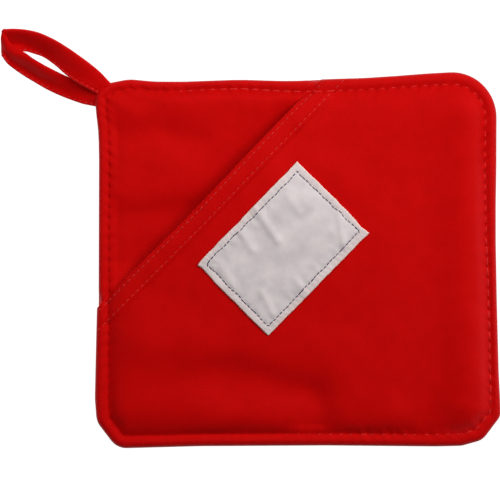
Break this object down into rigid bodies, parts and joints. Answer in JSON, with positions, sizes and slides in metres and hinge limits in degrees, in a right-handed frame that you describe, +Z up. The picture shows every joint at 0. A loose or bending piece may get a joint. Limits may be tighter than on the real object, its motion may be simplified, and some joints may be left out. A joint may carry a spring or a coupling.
{
  "type": "pot holder",
  "caption": "Square padded cotton pot holder lying face up, with a sewn channel round its soft rim, a diagonal hand pocket with a hemmed mouth, a plain sewn patch and a corner hanging loop.",
  "frame": {"origin": "middle of the pad's flat back, on the surface it lies on", "axes": "+X to the right of the face, +Y to its top, +Z up out of its face"},
  "size_m": [0.2546, 0.2129, 0.0196],
  "materials": {
    "red_cotton": "matt plain-dyed cotton over wadding",
    "red_cotton_pocket": "matt plain-dyed cotton",
    "red_cotton_strap": "matt plain-dyed cotton, folded and edge-stitched",
    "white_patch": "smooth tightly woven off-white cotton"
  },
  "bodies": {
    "root": {"pad": "red_cotton", "hand_pocket": "red_cotton_pocket", "hanging_loop": "red_cotton_strap", "label_patch": "white_patch"}
  },
  "joints": []
}
